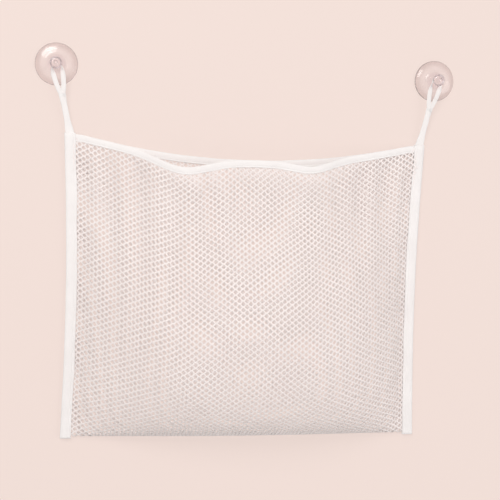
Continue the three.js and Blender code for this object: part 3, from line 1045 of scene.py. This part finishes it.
def strap_frame(side):
    """The neck's middle, the strap's foot, and the directions down the strap, across it and out
    from the wall."""
    neck = Vector((side * CUP_ACROSS, -NECK_MIDDLE_DEPTH, 0))
    foot = Vector((side * (BAG_HALF - SIDE_TAPE_WIDTH / 2), -SEAM_DEPTH, CORNER))
    down = (foot - neck).normalized()
    across = Vector((0, 1, 0)).cross(down).normalized()
    return StrapFrame(neck, foot, down, across, across.cross(down).normalized())


def stem_width(share):
    """A ply's width at a share of the way from the corner to the fork."""
    wide = CORNER_WIDTH + (STEM_WIDTH - CORNER_WIDTH) * smooth(share, *STEM_NARROWS_SHARES)
    return wide + (LEG_WIDTH - STEM_WIDTH) * smooth(share, *STEM_TO_LEG_SHARES)


def ply_route(strap, seat, face):
    """(middle, direction across, width) along one ply: up the stem, and up a leg to the neck."""
    fork = strap.neck + strap.down * FORK_DROP
    ply = RIBBON_THICKNESS / 2 + PLY_GAP
    low_end = strap.foot + strap.down * FOOT_SEATED
    route = []
    for i in range(STEM_STEPS):
        share = i / STEM_STEPS
        apart = FORK_SPREAD * smooth(share, *STEM_PARTS_SHARES) * face
        spot = low_end.lerp(fork, share) + strap.out * face * ply + strap.across * apart
        route.append((spot, strap.across * face, stem_width(share)))
    start = (FORK_SPREAD, FORK_DROP)
    for aside, drop in (start, *bezier(start, *LEG_HOLDS, (seat, 0), LEG_STEPS)[:-1].tolist()):
        near = 1 - drop / FORK_DROP
        turn = (1 - smooth(drop, *LEG_TWISTS)) * math.pi / 2
        spot = strap.neck + strap.down * drop + strap.across * face * aside
        spot += strap.out * face * ply * (1 - smooth(near, *LEG_CROSSES_SHARES))
        wide = strap.across * face * math.cos(turn) + OUTWARD * math.sin(turn)
        route.append((spot, wide, LEG_WIDTH))
    return route


def ribbon_route(side):
    """The whole ribbon's route, from the corner round the neck and back."""
    strap = strap_frame(side)
    seat = NECK_RADIUS + RIBBON_CLEARANCE + RIBBON_THICKNESS / 2
    flat_down = Vector((strap.down.x, 0, strap.down.z)).normalized()
    flat_across = Vector((strap.across.x, 0, strap.across.z)).normalized()
    over = []
    for i in range(NECK_STEPS + 1):
        angle = math.pi * i / NECK_STEPS
        ray = flat_across * math.cos(angle) - flat_down * math.sin(angle)
        over.append((strap.neck + ray * seat, OUTWARD, LEG_WIDTH))
    return ply_route(strap, seat, 1) + over + ply_route(strap, seat, -1)[::-1]


def rounded(value, power):
    return math.copysign(abs(value) ** power, value)


def ribbon(name, route):
    """A flat tape with rounded edges along a route."""
    middles = [spot for spot, wide, width in route]
    rings = []
    for i, (spot, wide, width) in enumerate(route):
        along = (middles[min(i + 1, len(route) - 1)] - middles[max(i - 1, 0)]).normalized()
        wide = (wide - along * wide.dot(along)).normalized()
        thin = along.cross(wide)
        ring = []
        for k in range(RIBBON_OUTLINE_POINTS):
            angle = 2 * math.pi * k / RIBBON_OUTLINE_POINTS
            edge = rounded(math.cos(angle), RIBBON_EDGE_POWER)
            face = rounded(math.sin(angle), RIBBON_FACE_POWER)
            ring.append(spot + wide * edge * width / 2 + thin * face * RIBBON_THICKNESS / 2)
        rings.append(ring)
    return loft(name, rings, strap_white, running_lengths(middles), ring_widths(rings))


TACK_HEIGHT = 0.0028
TACK_STANDS = 0.0001
TACK_TURNS = 14
TACK_THREAD = {"Pitch": 0.0011, "Length Share": 1.05, "Thread": 0.00034}


def tack_line(side, face):
    """A bar tack's zigzag across the stem, just below the fork."""
    strap = strap_frame(side)
    start = strap.neck + strap.down * (FORK_DROP + TACK_HEIGHT)
    lift = strap.out * face * (RIBBON_THICKNESS + TACK_STANDS)
    line = []
    for i in range(TACK_TURNS + 1):
        x = (i / TACK_TURNS - 0.5) * STEM_WIDTH
        z = TACK_HEIGHT * (0.5 if i % 2 else -0.5)
        line.append(start + strap.across * x + strap.down * z + lift)
    return line


straps = {}
tacks = {}
for name, side in SIDES.items():
    straps[name] = ribbon(f"{name}_strap_ribbon", ribbon_route(side))
    tacks[name] = sketch(f"{name}_strap_tack", [tack_line(side, face) for face in (-1, 1)])
    grow(tacks[name], stitches_on_lines, {**TACK_THREAD, "Material": thread_white})


# Suction cups: each is one moulding, turned about the line through its knob
CUP_SHOULDER_RADIUS = 0.008
CUP_SHOULDER_DEPTH = 0.008
CUP_DOME_RADIUS = 0.015
CUP_DOME_DEPTH = 0.0044
CUP_HOLLOW_DEPTH = 0.003
CUP_SEAL_WIDTH = 0.002
CUP_RIM_THICKNESS = 0.001
KNOB_RADIUS = 0.0065
KNOB_BACK_DEPTH = 0.0154
KNOB_EDGE = 0.0016
KNOB_FACE_SHARE = 0.75
DIMPLE_RADIUS = 0.002
DIMPLE_DEPTH = 0.001
DIMPLE_FLAT_SHARE = 0.7
DIMPLE_LIP_DEPTH = 0.0002
DIMPLE_LIP_SHARES = (1.15, 1.4)
NECK_FILLET = 0.0006
CUP_TURNS = 96


def curve(points, *ends, steps):
    """Adds one curve to an outline of (radius, depth). ends are its one or two holds, and its
    end. One hold gives the same arc as the two that lie two thirds of the way to it."""
    start, *holds, end = (np.array(p, float) for p in (points[-1], *ends))
    if len(holds) == 1:
        holds = [start + (holds[0] - start) * 2 / 3, end + (holds[0] - end) * 2 / 3]
    points.extend(tuple(p) for p in bezier(start, *holds, end, steps))


def cup_outline():
    """From the knob's dimple over the knob, the neck and the dome, and round to the hollow."""
    face = CUP_STANDS
    bottom = face - DIMPLE_DEPTH
    lip = face - DIMPLE_LIP_DEPTH
    knob = KNOB_RADIUS
    back = KNOB_BACK_DEPTH
    edge = back + KNOB_EDGE
    neck_edge = NECK_RADIUS + NECK_FILLET
    shoulder = CUP_SHOULDER_DEPTH
    shoulder_end = CUP_SHOULDER_RADIUS + NECK_FILLET
    dome_hold = CUP_DOME_RADIUS - CUP_SHOULDER_RADIUS / 2
    rim = CUP_RADIUS
    seal = rim - CUP_SEAL_WIDTH
    lip_hold, lip_end = (DIMPLE_RADIUS * share for share in DIMPLE_LIP_SHARES)
    points = [(0, bottom)]
    curve(points, (DIMPLE_RADIUS * DIMPLE_FLAT_SHARE, bottom), (DIMPLE_RADIUS, lip), steps=6)
    curve(points, (lip_hold, face), (lip_end, face), steps=3)
    curve(points, (knob * KNOB_FACE_SHARE, face), (knob, edge + KNOB_EDGE), (knob, edge), steps=10)
    curve(points, (knob, back), (knob - KNOB_EDGE / 2, back), steps=5)
    points.append((neck_edge, back))
    curve(points, (NECK_RADIUS, back), (NECK_RADIUS, back - NECK_FILLET), steps=4)
    points.append((NECK_RADIUS, shoulder + NECK_FILLET))
    curve(points, (NECK_RADIUS, shoulder), (neck_edge, shoulder), steps=4)
    points.append((CUP_SHOULDER_RADIUS - NECK_FILLET, shoulder))
    curve(points, (CUP_SHOULDER_RADIUS, shoulder), (shoulder_end, shoulder - NECK_FILLET), steps=5)
    curve(points, (dome_hold, CUP_DOME_DEPTH), (CUP_DOME_RADIUS, CUP_DOME_DEPTH), steps=8)
    curve(points, (seal, CUP_DOME_DEPTH - CUP_RIM_THICKNESS), (rim, CUP_RIM_THICKNESS), steps=12)
    points.extend([(rim, 0.0), (seal, 0.0)])
    curve(points, (rim / 2, CUP_HOLLOW_DEPTH), (0, CUP_HOLLOW_DEPTH), steps=14)
    return points


def cup(name, side):
    body = bmesh.new()
    rings = []
    for radius, depth in cup_outline():
        turns = CUP_TURNS if radius > 0 else 1
        ring = []
        for k in range(turns):
            angle = 2 * math.pi * k / CUP_TURNS
            x = side * CUP_ACROSS + radius * math.cos(angle)
            ring.append(body.verts.new((x, -depth, radius * math.sin(angle))))
        rings.append(ring)
    for inner, outer in zip(rings, rings[1:]):
        for k in range(CUP_TURNS):
            after = (k + 1) % CUP_TURNS
            turned = ((inner, k), (outer, k), (outer, after), (inner, after))
            corners = [ring[i % len(ring)] for ring, i in turned]
            body.faces.new(list(dict.fromkeys(corners)))
    mesh = bpy.data.meshes.new(name)
    finish_mesh(body, mesh, clear_vinyl)
    return put(name, mesh)


cups = {name: cup(f"{name}_cup_moulding", side) for name, side in SIDES.items()}

# What the pieces ride on, and which parts of the model they stand for
for piece, node_name in ((back_netting, "back_net"), (front_netting, "front_net")):
    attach(piece, "bag")
    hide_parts(node_name)
for name, piece in tapes.items():
    kind = "side" if name in side_points else "rim"
    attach(piece, "bag")
    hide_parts(f"{name}_{kind}_binding")
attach(seam_stitches, "bag")
for name, side in SIDES.items():
    strap = strap_frame(side)
    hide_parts(f"{name}_hanging_strap")
    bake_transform(straps[name])
    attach(tacks[name], f"{name}_strap")
    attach(cups[name], "wall_cups")
    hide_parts(f"{name}_suction_cup")

front_length = float(front_profile(0)[0][-1]) + RIM_TAPE_WIDTH


# The plain pale wall and floor, the light and the camera
STAGE_GLOW = 0.68
STAGE_HALF = 3
WALL_GAP = 0.0004
WALL_COLOUR = (0.868, 0.73, 0.678, 1)
FLOOR_DROP = 0.11
FLOOR_LEVEL = FOLD - FLOOR_DROP
FLOOR_COLOUR = (0.84, 0.78, 0.74, 1)
SKY_LIGHT = (1.0, 0.985, 0.97, 1)
SKY_STRENGTH = 0.64
SKY_SEEN = (0.86, 0.80, 0.76, 1)


def seen_rays(tree):
    """1 for the camera's rays, and for those that a shiny or a clear surface sends on."""
    path = node(tree, "ShaderNodeLightPath").outputs
    seen = math_node(tree, "MAXIMUM", path["Is Camera Ray"], path["Is Glossy Ray"])
    return math_node(tree, "MAXIMUM", seen, path["Is Transmission Ray"])


def stage_finish(name, colour):
    """A matt colour that only the camera, reflections and clear pieces see, and only from its
    front, so that the object is lit from all round and shows from behind as well."""
    made, tree, surface = material(name)
    dial(
        surface,
        Base_Color=tuple(c * (1 - STAGE_GLOW) for c in colour[:3]) + (1,),
        Emission_Color=colour,
        Emission_Strength=STAGE_GLOW,
        Roughness=0.9,
        Specular_IOR_Level=0.1,
    )
    behind = node(tree, "ShaderNodeNewGeometry").outputs["Backfacing"]
    shown = math_node(tree, "MULTIPLY", seen_rays(tree), math_node(tree, "SUBTRACT", 1, behind))
    mix_shaders(tree, shown, node(tree, "ShaderNodeBsdfTransparent"), surface, "Material Output")
    return made


def board(name, edges, finish):
    """A flat board as wide as the stage, between two edges that are given as (y, z)."""
    mesh = bpy.data.meshes.new(name)
    near, far = edges
    corners = [(-STAGE_HALF, *near), (STAGE_HALF, *near), (STAGE_HALF, *far), (-STAGE_HALF, *far)]
    mesh.from_pydata(corners, [], [(0, 1, 2, 3)])
    mesh.materials.append(finish)
    put(name, mesh)


wall_edges = ((WALL_GAP, FLOOR_LEVEL), (WALL_GAP, STAGE_HALF))
floor_edges = ((-2 * STAGE_HALF, FLOOR_LEVEL), (STAGE_HALF, FLOOR_LEVEL))
board("wall", wall_edges, stage_finish("pale_wall", WALL_COLOUR))
board("floor", floor_edges, stage_finish("pale_floor", FLOOR_COLOUR))

world = bpy.data.worlds.new("studio")
bpy.context.scene.world = world
world.use_nodes = True
sky = world.node_tree
light = dial(sky.nodes["Background"], Color=SKY_LIGHT, Strength=SKY_STRENGTH)
shown = dial(node(sky, "ShaderNodeBackground"), Color=SKY_SEEN, Strength=1)
mix_shaders(sky, seen_rays(sky), light, shown, "World Output")

VIEW_DEPTH = 0.03
VIEW_RISE = 0.045
VIEW_MIDDLE = Vector((0, -VIEW_DEPTH, (CORNER + FOLD) / 2 + VIEW_RISE))


def lamp(name, spot, size, watts, colour):
    """A round soft lamp that faces the bag. Clear pieces don't show it through themselves."""
    data = bpy.data.lights.new(name, "AREA")
    data.shape = "DISK"
    data.size = size
    data.energy = watts
    data.color = colour
    made = bpy.data.objects.new(name, data)
    bpy.context.scene.collection.objects.link(made)
    made.location = spot
    made.rotation_euler = (VIEW_MIDDLE - Vector(spot)).to_track_quat("-Z", "Y").to_euler()
    made.visible_transmission = False


lamp("key", spot=(-0.8, -1.7, 1.0), size=1.1, watts=21, colour=(1, 0.98, 0.96))
lamp("fill", spot=(1.4, -1.5, -0.5), size=1.5, watts=9, colour=(0.985, 0.985, 1))
lamp("back", spot=(0.7, 1.8, 0.9), size=2.8, watts=18, colour=(1, 0.985, 0.97))

CAMERA_AZIMUTH = math.radians(-9)
CAMERA_ELEVATION = math.radians(4.5)
CAMERA_ROLL = math.radians(1.7)
CAMERA_DISTANCE = 1.05
CAMERA_LENS = 70
camera_data = bpy.data.cameras.new("camera")
camera_data.lens = CAMERA_LENS
camera = bpy.data.objects.new("camera", camera_data)
bpy.context.scene.collection.objects.link(camera)
toward = Vector(
    (
        math.sin(CAMERA_AZIMUTH) * math.cos(CAMERA_ELEVATION),
        -math.cos(CAMERA_AZIMUTH) * math.cos(CAMERA_ELEVATION),
        math.sin(CAMERA_ELEVATION),
    )
)
camera.location = VIEW_MIDDLE + toward * CAMERA_DISTANCE
level = (-toward).to_track_quat("-Z", "Y")
camera.rotation_euler = (level @ Quaternion((0, 0, 1), CAMERA_ROLL)).to_euler()
bpy.context.scene.camera = camera
bpy.context.scene.view_settings.view_transform = "Standard"
